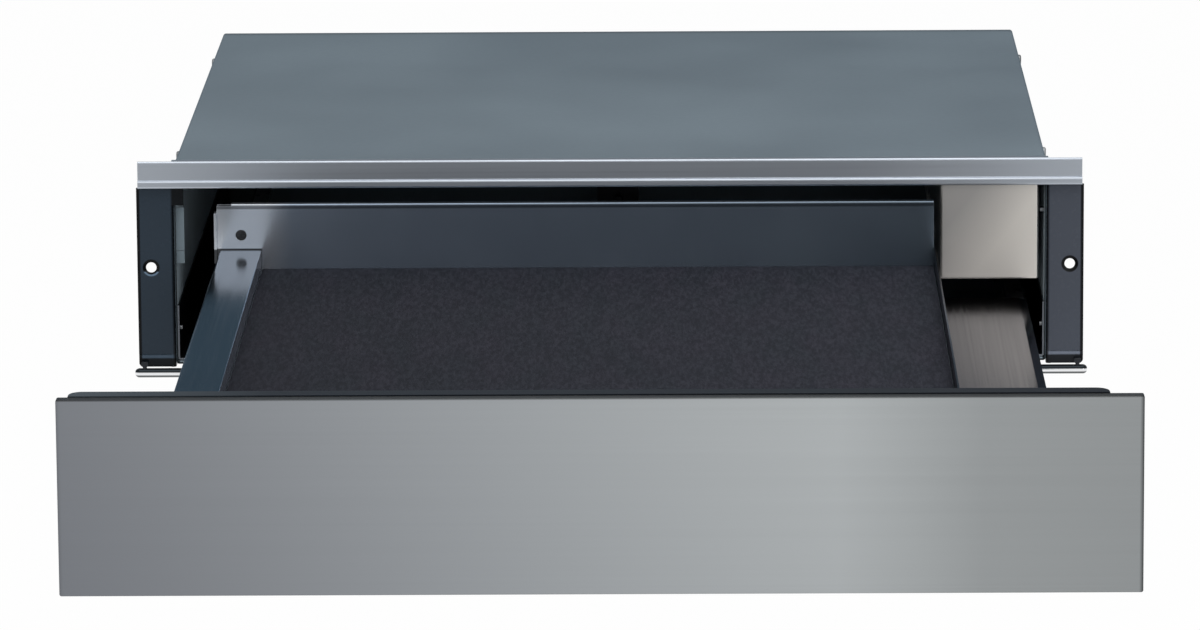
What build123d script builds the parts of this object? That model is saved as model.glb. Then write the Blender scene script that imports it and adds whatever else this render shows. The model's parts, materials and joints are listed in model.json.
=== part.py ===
from build123d import *
import math
import os

# Built-in warming drawer, 140 mm class, written with the drawer pulled fully out.
# Frame: +X right, +Y into the cabinet, +Z up. The origin is midway between the two
# cabinet screw holes, in the back plane of the side flanges, which meets the cabinet.
# All sizes are millimetres. While the parts are drawn, y = 0 is the flanges' front plane,
# and drawer parts are described closed and then pulled out.

# ---------------------------------------------------------------- driving sizes
SHEET = 1.0
TRAVEL = 510.0
FRAME_WIDTH = 584.0
TRIM_WIDTH = 581.6
HOUSING_WIDTH = 540.0
HOUSING_DEPTH = 520.0
HOUSING_TOP = 62.0
HOUSING_BOTTOM = -61.0
TRIM_TOP = 66.8
TRIM_STEP = 54.4
TRIM_BOTTOM = 50.0
FLANGE_BOTTOM = -62.6
FLANGE_SHEET = 1.5
HOLE_SPACING = 567.0
HOLE_RADIUS = 3.25

PANEL_WIDTH = 595.0
PANEL_TOP = 30.6
PANEL_BOTTOM = -79.8
PANEL_BACK = -5.0
PANEL_THICKNESS = 20.0

MAT_TOP = 1.0
MAT_THICKNESS = 2.0
SHELF_TOP = 13.0
LEDGE_TOP = -22.0
TRAY_FRONT = -4.0
TRAY_BACK = 500.0
LEDGE_BACK = 513.5
TRAY_WALL_TOP = 41.5
SHELF_OUTER_X = -240.2
RECESS_LEFT = -214.5
RECESS_RIGHT = 199.4
LEDGE_FLAT_X = 252.0
LEDGE_OUTER_X = 257.0
BASE_PAN_REAR = 464.0

SLIDE_THICKNESS = 12.6
SLIDE_HALF_HEIGHT = 16.5
SLIDE_Z = -41.3
SLIDE_FRONT = 6.0
CHANNEL_FRONT = 4.0
SLIDE_LENGTH = 500.0
CAGE_LENGTH = 236.0
BALL_RADIUS = 1.2
LEFT_SLIDE_X = -241.6
RIGHT_SLIDE_X = 256.0

BOX_LEFT = 203.8
BOX_RIGHT = 264.6
BOX_FRONT = 8.0
BOX_BACK = 400.0
BOX_BOTTOM = -11.0
FAN_X = 235.0
FAN_Z = 30.0
FAN_RADIUS = 21.0
FAN_FRONT = 92.0
FAN_BACK = 262.0

CONTROL_X = 221.0
KNOB_Y = 25.0
SWITCH_Y = 60.0
LAMP_Y = 82.0
CONTROL_TOP = -20.5
ROCKER_Z = -23.6
ROCKER_TILT = 8.0

LATCH_Z = -46.0
PLUNGER_TIP = 467.0

SCREW_SHANK = 1.6
SCREW_CLEARANCE = 0.1
SCREW_HEAD = 3.5
SCREW_HEAD_HEIGHT = 2.0
SCREW_RECESS = 1.1
RIVET_SHANK = 2.0
RIVET_DEPTH = SHEET + 1.2
RUNNING_FIT = 0.05

# ---------------------------------------------------------------- derived sizes
HALF_FRAME = FRAME_WIDTH / 2
HALF_TRIM = TRIM_WIDTH / 2
HALF_HOUSING = HOUSING_WIDTH / 2
WALL_OUTER = HALF_HOUSING - SHEET
WALL_INNER = WALL_OUTER - SHEET
WALL_REAR = HOUSING_DEPTH - SHEET
WALL_TOP = HOUSING_TOP - 3 * SHEET
FLOOR_TOP = HOUSING_BOTTOM + 2 * SHEET
TRAY_FLOOR_TOP = MAT_TOP - MAT_THICKNESS
RUNNER_TOP = SLIDE_Z + SLIDE_HALF_HEIGHT
PANEL_FRONT = PANEL_BACK - PANEL_THICKNESS
LEFT_TRAY_SIDE = LEFT_SLIDE_X + SLIDE_THICKNESS
RIGHT_TRAY_SIDE = RIGHT_SLIDE_X - SLIDE_THICKNESS


# ---------------------------------------------------------------- helpers
def block(x0, x1, y0, y1, z0, z1):
    """A box given by its two corners."""
    centre = ((x0 + x1) / 2, (y0 + y1) / 2, (z0 + z1) / 2)
    return Pos(*centre) * Box(abs(x1 - x0), abs(y1 - y0), abs(z1 - z0))


def rod(start, direction, length, radius):
    """A round bar from a point, along a unit axis."""
    plane = Plane(origin=start, z_dir=direction)
    return plane * Cylinder(radius, length, align=(Align.CENTER, Align.CENTER, Align.MIN))


def profile_plane(axis):
    """The plane whose local x, y are (X, Z) for axis Y, (Y, Z) for X, (X, Y) for Z."""
    if axis == "Y":
        return Plane((0, 0, 0), x_dir=(1, 0, 0), z_dir=(0, -1, 0))
    if axis == "X":
        return Plane((0, 0, 0), x_dir=(0, 1, 0), z_dir=(1, 0, 0))
    return Plane.XY


def run_along(face, axis, low, high):
    """Extrude a face drawn in profile_plane(axis) between two values on that axis."""
    if axis == "Y":
        return Pos(0, low, 0) * extrude(face, amount=-(high - low))
    if axis == "X":
        return Pos(low, 0, 0) * extrude(face, amount=high - low)
    return Pos(0, 0, low) * extrude(face, amount=high - low)


def folded(points, axis, low, high, bend=1.2, sheet=SHEET):
    """Folded sheet metal: the centre line of its section, run along an axis."""
    section = trace(FilletPolyline(*points, radius=bend), line_width=sheet)
    return run_along(profile_plane(axis) * section, axis, low, high)


def prism(points, axis, low, high):
    """A closed outline run along an axis."""
    outline = make_face(Polyline(*points, close=True))
    return run_along(profile_plane(axis) * outline, axis, low, high)


def pulled_out(part, share=1.0):
    """Move a part from its closed place to the open rest pose."""
    return Pos(0, -TRAVEL * share, 0) * part


def edges_at(part, axis, test):
    """Edges parallel to an axis whose centre passes a test."""
    return [e for e in part.edges().filter_by(axis) if test(e.center())]


def pan_screw(head_base, outward, length):
    """A pan-head screw: head base on the sheet, shank going inwards."""
    head = rod(head_base, outward, SCREW_HEAD_HEIGHT, SCREW_HEAD)
    rim = head.edges().filter_by(GeomType.CIRCLE).sort_by(lambda e: Vector(*outward).dot(e.center()))[-1]
    head = fillet(rim, SCREW_HEAD_HEIGHT * 0.6)
    inward = tuple(-c for c in outward)
    recess_base = tuple(b + c * SCREW_HEAD_HEIGHT * 0.45 for b, c in zip(head_base, outward))
    recess = rod(recess_base, outward, SCREW_HEAD_HEIGHT, SCREW_RECESS)
    return head - recess + rod(head_base, inward, length, SCREW_SHANK)


def screw_hole(head_base, outward, length):
    """The clearance hole that a pan screw's shank passes through."""
    start = tuple(b + c for b, c in zip(head_base, outward))
    inward = tuple(-c for c in outward)
    return rod(start, inward, length + 2, SCREW_SHANK + SCREW_CLEARANCE)


def flat_rivet(start, direction, sheets, head_height=1.2, head_radius=3.4):
    """A rivet with a head behind its start point, flush at the far end."""
    back = tuple(s - d * head_height for s, d in zip(start, direction))
    return rod(back, direction, head_height, head_radius) + rod(start, direction, sheets, RIVET_SHANK)


def rivet_hole(start, direction, sheets):
    """The hole a rivet passes through."""
    before = tuple(s - d for s, d in zip(start, direction))
    return rod(before, direction, sheets + 2, RIVET_SHANK + SCREW_CLEARANCE)


def drilled(part, cutters):
    """A part with every cutter taken out of it."""
    for cutter in cutters:
        part = part - cutter
    return part


# ---------------------------------------------------------------- fastener places
SCREW_LENGTH = 5.0
COVER_SCREW_Z = 56.0
COVER_SCREW_Y = (76.0, 430.0)
FLANGE_SCREW_Y = 12.0
FLANGE_SCREW_Z = (-40.0, 32.0)
REAR_SCREW_X = (-200.0, 0.0, 200.0)
RIVET_Y = (60.0, 256.0, 450.0)


def housing_screw_places():
    """(head base, outward) of each screw that holds the housing together."""
    places = []
    for side in (-1, 1):
        for y in COVER_SCREW_Y:
            places.append(((side * HALF_HOUSING, y, COVER_SCREW_Z), (side, 0, 0)))
        for z in FLANGE_SCREW_Z:
            places.append(((side * (WALL_OUTER + FLANGE_SHEET), FLANGE_SCREW_Y, z), (side, 0, 0)))
    for x in REAR_SCREW_X:
        places.append(((x, HOUSING_DEPTH, COVER_SCREW_Z), (0, 1, 0)))
    return places


def housing_screw_holes():
    """Clearance holes for all the housing screws."""
    return [screw_hole(base, out, SCREW_LENGTH) for base, out in housing_screw_places()]


def slide_rivet_places():
    """(start, direction) of the rivets through the runner channels and slides."""
    places = []
    for y in RIVET_Y:
        places.append(((RIGHT_SLIDE_X + SHEET, y, SLIDE_Z), (-1, 0, 0)))
        places.append(((LEFT_SLIDE_X - SHEET, y, SLIDE_Z), (1, 0, 0)))
    return places


def tray_rivet_places():
    """(start, direction) of the rivets through the tray sides and inner members."""
    places = []
    for y in RIVET_Y:
        places.append(((RIGHT_TRAY_SIDE - SHEET, y, SLIDE_Z), (1, 0, 0)))
        places.append(((LEFT_TRAY_SIDE + SHEET, y, SLIDE_Z), (-1, 0, 0)))
    return places


# ---------------------------------------------------------------- housing
def top_cover():
    """Roof sheet with folded sides and a folded rear edge."""
    middle = HALF_HOUSING - SHEET / 2
    skirt = 50.0
    top = HOUSING_TOP - SHEET / 2
    points = [(-middle, skirt), (-middle, top), (middle, top), (middle, skirt)]
    roof = folded(points, "Y", 1.5, HOUSING_DEPTH, bend=1.6)
    rear = block(-WALL_OUTER + 2, WALL_OUTER - 2, WALL_REAR, HOUSING_DEPTH, skirt, HOUSING_TOP - SHEET)
    return drilled(roof + rear, housing_screw_holes())


def side_wall(side):
    """Side sheet with a foot folded under the floor; the left one has a front return."""
    middle = (WALL_OUTER + WALL_INNER) / 2
    foot = 13.0
    points = [
        (side * middle, WALL_TOP),
        (side * middle, HOUSING_BOTTOM + SHEET / 2),
        (side * (middle - foot), HOUSING_BOTTOM + SHEET / 2),
    ]
    wall = folded(points, "Y", 1.5, WALL_REAR - SHEET)
    if side < 0:
        edge, width, face, seam = -WALL_INNER, 5.0, 4.0, 10.0
        for low, high in ((2.0, seam - 0.2), (seam + 0.2, 37.0)):
            wall += block(edge, edge + width, face, face + SHEET, low, high)
    return drilled(wall, housing_screw_holes())


def floor_plate():
    """Bottom sheet, lying on the folded feet of the side walls."""
    edge = WALL_INNER - SHEET
    return block(-edge, edge, 1.5, WALL_REAR - SHEET, FLOOR_TOP - SHEET, FLOOR_TOP)


GLAND_X = 234.0
GLAND_Z = -2.0
GLAND_THREAD = 8.0


def rear_wall():
    """Rear sheet with two groups of vent slots and the hole for the cable gland."""
    wall = block(-WALL_OUTER, WALL_OUTER, WALL_REAR - SHEET, WALL_REAR, HOUSING_BOTTOM, WALL_TOP)
    slot_width, slot_height, slot_z, pitch, count = 4.0, 26.0, 12.0, 9.0, 12
    for group_x in (-190.0, 60.0):
        for index in range(count):
            x = group_x + index * pitch
            slot = Pos(x, WALL_REAR, slot_z) * Rot(90, 0, 0) * extrude(
                SlotOverall(slot_height, slot_width, rotation=90), amount=4, both=True
            )
            wall -= slot
    wall -= rod((GLAND_X, WALL_REAR - 3, GLAND_Z), (0, 1, 0), 6, GLAND_THREAD + SCREW_CLEARANCE)
    return drilled(wall, housing_screw_holes())


def front_trim():
    """Stepped steel trim across the top of the frame."""
    half = SHEET / 2
    upper_y, ledge_y = -1.5, -3.5
    lip_end, lip_start, crown_back = 12.0, 6.5, 5.0
    points = [
        (lip_end, HOUSING_TOP + half),
        (lip_start, HOUSING_TOP + half),
        (crown_back, TRIM_TOP - half),
        (upper_y, TRIM_TOP - half),
        (upper_y, TRIM_STEP),
        (ledge_y, TRIM_STEP),
        (ledge_y, TRIM_BOTTOM + half),
        (FLANGE_SHEET, TRIM_BOTTOM + half),
    ]
    trim = folded(points, "X", -HALF_TRIM, HALF_TRIM, bend=0.8)
    for side in (-1, 1):
        inner, outer = side * HALF_HOUSING, side * (HALF_TRIM + 1)
        trim -= block(inner, outer, upper_y + half, lip_end + 1, HOUSING_TOP - 1, TRIM_TOP + 1)
    return trim


def flange(side):
    """Side flange: an angle whose face takes one countersunk cabinet screw."""
    half = FLANGE_SHEET / 2
    points = [(side * HALF_FRAME, half), (side * (WALL_OUTER + half), half), (side * (WALL_OUTER + half), 20.0)]
    angle = folded(points, "Z", FLANGE_BOTTOM, TRIM_BOTTOM, bend=1.4, sheet=FLANGE_SHEET)
    if side < 0:
        tab_height = 11.0
        angle += block(-WALL_OUTER - 3, 6 - WALL_OUTER, 0, FLANGE_SHEET, TRIM_BOTTOM - tab_height, TRIM_BOTTOM)
    crease, below = FLANGE_BOTTOM + 7.6, FLANGE_BOTTOM - 1
    lip = [(-1, crease + 0.4), (0, crease + 0.4), (0.7, crease), (0.3, crease - 0.7), (0.8, below), (-1, below)]
    low, high = sorted((side * (WALL_OUTER + 3), side * (HALF_FRAME + 1)))
    angle -= prism(lip, "X", low, high)
    corner = edges_at(angle, Axis.Y, lambda c: abs(c.X) > HALF_FRAME - 1 and c.Z < FLANGE_BOTTOM + 1)
    angle = fillet(corner, 2.5)
    hole_x = side * HOLE_SPACING / 2
    sink_radius, sink_depth = 5.2, 0.8
    cutter = rod((hole_x, -1, 0), (0, 1, 0), 4, HOLE_RADIUS)
    sink = Pos(hole_x, sink_depth / 2, 0) * Rot(90, 0, 0) * Cone(HOLE_RADIUS, sink_radius, sink_depth)
    return drilled(angle, housing_screw_holes() + [cutter, sink])


ROD_RADIUS = 2.9
ROD_Y = -1.5
ROD_Z = -66.0
POST_X = 288.5
POST_RADIUS = 1.3


def cross_rod():
    """Chromed bar with domed ends, tying the two flanges below the housing."""
    half_length = HALF_FRAME + 2.5
    bar = rod((-half_length, ROD_Y, ROD_Z), (1, 0, 0), 2 * half_length, ROD_RADIUS)
    bar = fillet(bar.edges().filter_by(GeomType.CIRCLE), ROD_RADIUS * 0.9)
    for side in (-1, 1):
        bar -= rod((side * POST_X, ROD_Y, ROD_Z), (0, 0, 1), 5, POST_RADIUS + RUNNING_FIT)
    return bar


def rod_posts():
    """Two shouldered posts between the flanges and the bar."""
    posts = []
    lug_half, low, top = 2.2, FLANGE_BOTTOM + 0.6, FLANGE_BOTTOM + 3.6
    for side in (-1, 1):
        x = side * POST_X
        stem = rod((x, ROD_Y, ROD_Z + 0.1), (0, 0, 1), top - ROD_Z, POST_RADIUS)
        lug = block(x - lug_half, x + lug_half, ROD_Y - POST_RADIUS, 0.3, low, top)
        lug = fillet(lug.edges().filter_by(Axis.Y), 1.0)
        posts.append(stem + lug)
    return Compound(children=posts)


def housing_screws():
    """All the pan-head screws of the housing, as one group."""
    return Compound(children=[pan_screw(base, out, SCREW_LENGTH) for base, out in housing_screw_places()])


def runner_channel(slide_x, wall_x):
    """Upright U channel on the floor that carries a slide beside the wall."""
    sign = 1 if wall_x > slide_x else -1
    half = SHEET / 2
    inner = slide_x + sign * half
    outer = wall_x - sign * half
    bottom = FLOOR_TOP + half
    points = [(outer, RUNNER_TOP), (outer, bottom), (inner, bottom), (inner, RUNNER_TOP)]
    channel = folded(points, "Y", CHANNEL_FRONT, SLIDE_FRONT + SLIDE_LENGTH, bend=1.0)
    channel = drilled(channel, [rivet_hole(s, d, RIVET_DEPTH) for s, d in slide_rivet_places()])
    return drilled(channel, housing_screw_holes())


# ---------------------------------------------------------------- slides
OUTER_WEB = 1.2
MIDDLE_HALF = 12.3
MIDDLE_WEB = (2.6, 3.8)
MIDDLE_LIP = 11.2
INNER_HALF = 8.1
INNER_LIP = 5.4
BALLS_PER_ROW = 10
BALL_PLAY = 0.15


def slide_piece(slide_x, side, u0, u1, v0, v1, y0, y1):
    """A bar of a slide: u is measured from the cabinet side, v from the mid height."""
    return block(slide_x - side * u0, slide_x - side * u1, y0, y1, SLIDE_Z + v0, SLIDE_Z + v1)


def channel_member(slide_x, side, web, lips, half_height):
    """A C-shaped slide member, closed position, full length."""
    y0, y1 = SLIDE_FRONT, SLIDE_FRONT + SLIDE_LENGTH
    member = slide_piece(slide_x, side, *web, -half_height, half_height, y0, y1)
    member += slide_piece(slide_x, side, *lips, half_height - OUTER_WEB, half_height, y0, y1)
    member += slide_piece(slide_x, side, *lips, -half_height, -half_height + OUTER_WEB, y0, y1)
    return member


def slide_outer(slide_x, side):
    """Cabinet member, riveted to the runner channel."""
    member = channel_member(slide_x, side, (0, OUTER_WEB), (0, 10.0), SLIDE_HALF_HEIGHT)
    return drilled(member, [rivet_hole(s, d, RIVET_DEPTH) for s, d in slide_rivet_places()])


def slide_middle(slide_x, side):
    """Middle member, pulled out by half the travel."""
    member = channel_member(slide_x, side, MIDDLE_WEB, (MIDDLE_WEB[0], MIDDLE_LIP), MIDDLE_HALF)
    return pulled_out(member, 0.5)


def slide_inner(slide_x, side):
    """Drawer member, riveted to the tray side and pulled out with it."""
    web = (SLIDE_THICKNESS - OUTER_WEB, SLIDE_THICKNESS)
    member = channel_member(slide_x, side, web, (INNER_LIP, SLIDE_THICKNESS), INNER_HALF)
    member = drilled(member, [rivet_hole(s, d, RIVET_DEPTH) for s, d in tray_rivet_places()])
    return pulled_out(member)


def ball_cage(slide_x, side, web_u, strip_end, mid_v, ball_u, share):
    """Retainer with two rows of balls that rolls between two slide members."""
    strip = 0.8
    y0 = SLIDE_FRONT + (SLIDE_LENGTH - CAGE_LENGTH) / 2
    y1 = y0 + CAGE_LENGTH
    reach = mid_v + strip / 2
    cage = slide_piece(slide_x, side, web_u, web_u + strip, -reach, reach, y0, y1)
    for sign in (-1, 1):
        low, high = sorted((sign * (mid_v - strip / 2), sign * reach))
        cage += slide_piece(slide_x, side, web_u, strip_end, low, high, y0, y1)
    balls = []
    pitch = CAGE_LENGTH / BALLS_PER_ROW
    x = slide_x - side * ball_u
    for sign in (-1, 1):
        for index in range(BALLS_PER_ROW):
            centre = (x, y0 + pitch * (index + 0.5), SLIDE_Z + sign * mid_v)
            seat = Pos(*centre) * Cylinder(BALL_RADIUS + BALL_PLAY, 2 * BALL_RADIUS)
            cage -= seat
            balls.append(Pos(*centre) * Sphere(BALL_RADIUS))
    return pulled_out(Compound(children=[cage] + balls), share)


def outer_cage(slide_x, side):
    """Ball cage between the cabinet member and the middle member."""
    return ball_cage(slide_x, side, 1.5, 9.5, (SLIDE_HALF_HEIGHT - OUTER_WEB + MIDDLE_HALF) / 2, 6.0, 0.25)


def inner_cage(slide_x, side):
    """Ball cage between the middle member and the drawer member."""
    return ball_cage(slide_x, side, 4.1, 10.8, (MIDDLE_HALF - OUTER_WEB + INNER_HALF) / 2, 8.2, 0.75)


def slide_rivets():
    """Rivets that hold the cabinet members to the runner channels."""
    return Compound(children=[flat_rivet(s, d, SHEET + OUTER_WEB) for s, d in slide_rivet_places()])


# ---------------------------------------------------------------- blower box
def blower_box():
    """Fixed heater and fan housing that hangs from the roof over the right ledge."""
    shell = block(BOX_LEFT, BOX_RIGHT, BOX_FRONT, BOX_BACK, BOX_BOTTOM, HOUSING_TOP - SHEET)
    shell = fillet(edges_at(shell, Axis.Z, lambda c: c.Y < BOX_FRONT + 1), 1.5)
    shell = fillet(edges_at(shell, Axis.X, lambda c: c.Y < BOX_FRONT + 1 and c.Z < 0), 1.2)
    shell -= block(
        BOX_LEFT + SHEET, BOX_RIGHT - SHEET, BOX_FRONT + SHEET, BOX_BACK - SHEET, BOX_BOTTOM + SHEET, HOUSING_TOP
    )
    slot_length, slot_height, pitch, count = 14.0, 3.0, 18.0, 9
    for row_z in (-6.0, 0.0, 44.0, 50.0):
        for index in range(count):
            y = FAN_FRONT + 8 + index * pitch
            shell -= block(BOX_LEFT - 1, BOX_LEFT + 2, y, y + slot_length, row_z, row_z + slot_height)
    return shell


def blower_baffle():
    """Curved sheet that guides the air round the fan wheel."""
    radius = FAN_RADIUS + 4
    upper, lower = (FAN_X - 10, FAN_Z + 24.6), (FAN_X - 6, FAN_Z - 26.5)
    arc = ThreePointArc(upper, (FAN_X + radius, FAN_Z), lower)
    section = trace(arc, line_width=0.8)
    return run_along(profile_plane("Y") * section, "Y", FAN_FRONT - 2, FAN_BACK + 1)


def fan_brackets():
    """End plates with the bushes of the fan shaft; the rear one carries the motor."""
    plates = []
    for y in (FAN_FRONT - 6, FAN_BACK + 4):
        plate = block(BOX_LEFT + SHEET, BOX_RIGHT - SHEET, y, y + 1.5, BOX_BOTTOM + SHEET, 60)
        bush = rod((FAN_X, y - 1.5, FAN_Z), (0, 1, 0), 4.5, 5)
        bore = rod((FAN_X, y - 2, FAN_Z), (0, 1, 0), 6, SHAFT_RADIUS + RUNNING_FIT)
        element_gap = block(BOX_LEFT + 6, BOX_RIGHT - 6, y - 1, y + 3, BOX_BOTTOM, BOX_BOTTOM + 18)
        plates.append(plate + bush - bore - element_gap)
    return Compound(children=plates)


SHAFT_RADIUS = 2.5
BLADE_COUNT = 20


def fan_wheel():
    """Crossflow wheel: end discs, curved blades and the shaft through it."""
    wheel = rod((FAN_X, FAN_FRONT - 9, FAN_Z), (0, 1, 0), MOTOR_BACK - FAN_FRONT + 5, SHAFT_RADIUS)
    for y in (FAN_FRONT, (FAN_FRONT + FAN_BACK) / 2 - 0.75, FAN_BACK - 1.5):
        wheel += rod((FAN_X, y, FAN_Z), (0, 1, 0), 1.5, FAN_RADIUS)
    inner = FAN_RADIUS - 6.5
    chord = [(inner, 0.0), (FAN_RADIUS - 3.4, 1.5), (FAN_RADIUS - 0.6, 4.6)]
    arc = trace(ThreePointArc(*chord), line_width=0.7)
    for index in range(BLADE_COUNT):
        section = Pos(FAN_X, FAN_Z) * Rot(0, 0, 360 / BLADE_COUNT * index) * arc
        wheel += run_along(profile_plane("Y") * section, "Y", FAN_FRONT + 0.5, FAN_BACK - 0.5)
    return wheel


MOTOR_FRONT = FAN_BACK + 8
MOTOR_BACK = MOTOR_FRONT + 44


def fan_motor():
    """Shaded-pole motor: lamination stack, coil beside it and two end cages."""
    stack = block(FAN_X - 24, FAN_X + 24, MOTOR_FRONT + 14, MOTOR_FRONT + 32, FAN_Z - 22, FAN_Z + 28)
    stack = fillet(stack.edges().filter_by(Axis.Y), 3)
    coil = block(FAN_X - 14, FAN_X + 14, MOTOR_FRONT + 8, MOTOR_FRONT + 38, FAN_Z - 35, FAN_Z - 22)
    coil = fillet(coil.edges().filter_by(Axis.Z), 4)
    cages = rod((FAN_X, MOTOR_FRONT, FAN_Z), (0, 1, 0), MOTOR_BACK - MOTOR_FRONT, 14)
    feet = block(FAN_X - 20, FAN_X + 20, FAN_BACK + 5.5, MOTOR_FRONT + 14, FAN_Z + 18, FAN_Z + 22)
    bore = rod((FAN_X, MOTOR_FRONT - 1, FAN_Z), (0, 1, 0), MOTOR_BACK - MOTOR_FRONT + 2, SHAFT_RADIUS + RUNNING_FIT)
    return stack + coil + cages + feet - bore


def heating_element():
    """Hairpin of sheathed heating rod, under the fan wheel beside the air slots."""
    radius = 3.2
    left, right = FAN_X - 14, FAN_X + 14
    z = BOX_BOTTOM + 9
    front, back = FAN_FRONT + 6, FAN_BACK - 6
    turn = (right - left) / 2
    legs = rod((left, front, z), (0, 1, 0), back - front, radius)
    legs += rod((right, front, z), (0, 1, 0), back - front, radius)
    bend = Pos((left + right) / 2, front, z) * Torus(turn, radius)
    bend -= block(left - 10, right + 10, front, front + turn + 10, z - 10, z + 10)
    terminals = rod((left, back, z), (0, 1, 0), 14, 1.5) + rod((right, back, z), (0, 1, 0), 14, 1.5)
    return legs + bend + terminals


def thermal_cutout():
    """Disc thermostat with its two blade terminals, on the floor of the blower box."""
    base = (FAN_X, 350.0, BOX_BOTTOM + SHEET)
    disc = rod(base, (0, 0, 1), 7, 8)
    for offset in (-5, 2):
        disc += block(FAN_X + offset, FAN_X + offset + 3, 349.6, 350.4, base[2] + 7, base[2] + 14)
    return disc


def terminal_block():
    """Three-way mains terminal strip on the rear wall, above the cable gland."""
    back = WALL_REAR - SHEET
    strip = block(GLAND_X - 20, GLAND_X + 20, back - 16, back, 18, 34)
    for index in (-1, 0, 1):
        x = GLAND_X + index * 13
        strip -= rod((x, back - 10, 26), (0, 0, 1), 10, 3)
        strip -= rod((x, back - 10, 17), (0, 0, 1), 6, 2.2)
    return strip


GLAND_BORE = 4.0


def cable_gland():
    """Cable inlet in the rear wall: inner nut, thread and outer cap in one piece."""
    inside = WALL_REAR - SHEET
    cap = run_along(
        profile_plane("Y") * (Pos(GLAND_X, GLAND_Z) * RegularPolygon(10.5, 6)), "Y", WALL_REAR, WALL_REAR + 7
    )
    nut = run_along(profile_plane("Y") * (Pos(GLAND_X, GLAND_Z) * RegularPolygon(10.5, 6)), "Y", inside - 4, inside)
    thread = rod((GLAND_X, inside - 6, GLAND_Z), (0, 1, 0), 8, GLAND_THREAD)
    bore = rod((GLAND_X, inside - 8, GLAND_Z), (0, 1, 0), 20, GLAND_BORE)
    return cap + nut + thread - bore


# ---------------------------------------------------------------- push latch
PLUNGER_RADIUS = 4.0
COLLAR_RADIUS = 5.5
LATCH_FRONT = 475.0
LATCH_BACK = 516.0
CHAMBER_FRONT = 481.0


def latch_body():
    """Push-latch housing on the floor, bored for its plunger and spring."""
    body = block(-14, 14, LATCH_FRONT, LATCH_BACK, FLOOR_TOP, LATCH_Z + 12)
    body = fillet(body.edges().filter_by(Axis.Y), 1.5)
    body -= rod((0, LATCH_FRONT - 1, LATCH_Z), (0, 1, 0), 10, PLUNGER_RADIUS + 0.06)
    body -= rod((0, CHAMBER_FRONT, LATCH_Z), (0, 1, 0), LATCH_BACK - CHAMBER_FRONT - 8, COLLAR_RADIUS + 0.5)
    return body


def latch_plunger():
    """Plunger with a rounded nose and a retaining collar."""
    nose = rod((0, PLUNGER_TIP, LATCH_Z), (0, 1, 0), 20, PLUNGER_RADIUS)
    nose = fillet(nose.edges().filter_by(GeomType.CIRCLE).sort_by(Axis.Y)[0], 2)
    return nose + rod((0, CHAMBER_FRONT + 0.3, LATCH_Z), (0, 1, 0), 3, COLLAR_RADIUS)


def latch_spring():
    """Coil spring behind the plunger."""
    wire = 0.6
    half_turns = 10
    start = PLUNGER_TIP + 20.3
    end = LATCH_BACK - 8.3
    rise = (end - start - 2 * wire) / half_turns
    path = Helix(pitch=2 * rise, height=rise, radius=COLLAR_RADIUS - 1.5)
    section = Plane(path @ 0, z_dir=path % 0) * Circle(wire)
    half_turn = sweep(section, path=path)
    coil = half_turn
    for index in range(1, half_turns):
        coil += Pos(0, 0, index * rise) * Rot(0, 0, 180 * index) * half_turn
    return Pos(0, start + wire, LATCH_Z) * Rot(-90, 0, 0) * coil


def latch_striker():
    """Steel plate on the back of the tray base that meets the plunger."""
    face = BASE_PAN_REAR + SHEET
    plate = block(-12, 12, face, face + 1.5, LATCH_Z - 7, LATCH_Z + 7)
    return pulled_out(fillet(plate.edges().filter_by(Axis.Y), 2))


# ---------------------------------------------------------------- tray
def tray_floor():
    """Flat steel floor under the mat."""
    low = TRAY_FLOOR_TOP - SHEET
    return pulled_out(block(RECESS_LEFT - SHEET, RECESS_RIGHT, TRAY_FRONT, TRAY_BACK, low, TRAY_FLOOR_TOP))


def left_shelf():
    """Polished side shelf: outer lip, flat top and the step down to the mat."""
    half = SHEET / 2
    points = [
        (SHELF_OUTER_X + half, SHELF_TOP - 9),
        (SHELF_OUTER_X + half, SHELF_TOP - half),
        (RECESS_LEFT - half, SHELF_TOP - half),
        (RECESS_LEFT - half, TRAY_FLOOR_TOP),
    ]
    return pulled_out(folded(points, "Y", TRAY_FRONT, TRAY_BACK, bend=0.6))


def right_ledge():
    """Lip beside the mat, then the low ledge that slides under the blower box."""
    half = SHEET / 2
    lip_x = RECESS_RIGHT + half
    points = [
        (lip_x, SHELF_TOP - 0.9),
        (lip_x, LEDGE_TOP - half),
        (LEDGE_FLAT_X, LEDGE_TOP - half),
        (LEDGE_OUTER_X - 0.1, LEDGE_TOP - half - 1.1),
    ]
    ledge = folded(points, "Y", TRAY_FRONT, LEDGE_BACK, bend=0.65)
    return pulled_out(drilled(ledge, control_cutouts()))


BACK_WALL_LEFT = -241.8
BACK_HOLE_X = -227.0
BACK_HOLE_Z = 22.0
BACK_HOLE_RADIUS = 3.4


def tray_back_wall():
    """Polished rear wall with a rolled top edge, a screw hole and a left end flange."""
    half = SHEET / 2
    points = [
        (TRAY_BACK + half, TRAY_FLOOR_TOP - SHEET),
        (TRAY_BACK + half, TRAY_WALL_TOP - half),
        (TRAY_BACK + 6, TRAY_WALL_TOP - half),
        (TRAY_BACK + 6, TRAY_WALL_TOP - 4),
    ]
    left = BACK_WALL_LEFT
    wall = folded(points, "X", left, RECESS_RIGHT - 0.1, bend=0.6)
    wall += block(left - 1.6, left, TRAY_BACK - 3, TRAY_BACK + 5, 5, 36)
    wall -= block(left - 1, left + 9, TRAY_BACK - 1, TRAY_BACK + 9, TRAY_WALL_TOP - 1.2, TRAY_WALL_TOP + 1)
    wall -= rod((BACK_HOLE_X, TRAY_BACK - 1, BACK_HOLE_Z), (0, 1, 0), 3, BACK_HOLE_RADIUS)
    return pulled_out(wall)


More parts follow.
